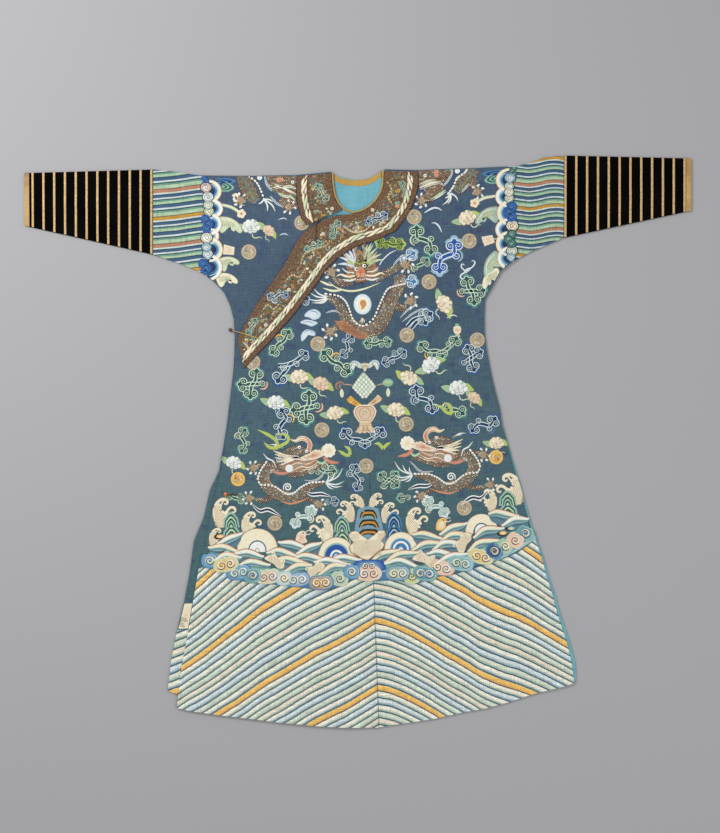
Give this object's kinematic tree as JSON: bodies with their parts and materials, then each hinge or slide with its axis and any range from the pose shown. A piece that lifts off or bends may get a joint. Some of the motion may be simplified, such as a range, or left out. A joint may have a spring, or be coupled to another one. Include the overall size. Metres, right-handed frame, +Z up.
{
  "type": "chinese dragon robe",
  "caption": "Chinese dragon robe laid flat, with a diagonal overlap, dark braided sleeves, a figured neckband and a flared skirt.",
  "frame": {"origin": "on the surface that the robe lies on, under the middle of its outline", "axes": "+X to the right sleeve as seen from above, +Y from the hem to the neck, +Z up out of the face of the cloth"},
  "size_m": [1.669, 1.4185, 0.0178],
  "materials": {
    "figured_silk": "indigo to teal silk with tapestry-woven motifs",
    "black_silk": "black silk with couched gold braid",
    "gold_braid": "gold thread braid",
    "neckband_brocade": "brown and gold figured silk band",
    "sky_lining": "light blue silk",
    "coral": "polished coral bead",
    "loop_cord": "corded silk"
  },
  "bodies": {
    "root": {"body_left": "figured_silk", "body_right": "figured_silk", "overlap_front": "figured_silk", "sleeve_left": "black_silk", "sleeve_right": "black_silk", "cuff_band_left": "gold_braid", "cuff_band_right": "gold_braid", "neckband_overlap": "neckband_brocade", "neckband_underlap": "neckband_brocade", "neck_piping": "gold_braid", "back_neck_band": "gold_braid", "lining_neck": "sky_lining", "lining_slit": "sky_lining", "button_neck": "gold_braid", "button_armpit": "loop_cord", "button_side": "coral", "loop_neck": "loop_cord", "loop_armpit": "loop_cord", "loop_side": "loop_cord"}
  },
  "joints": []
}
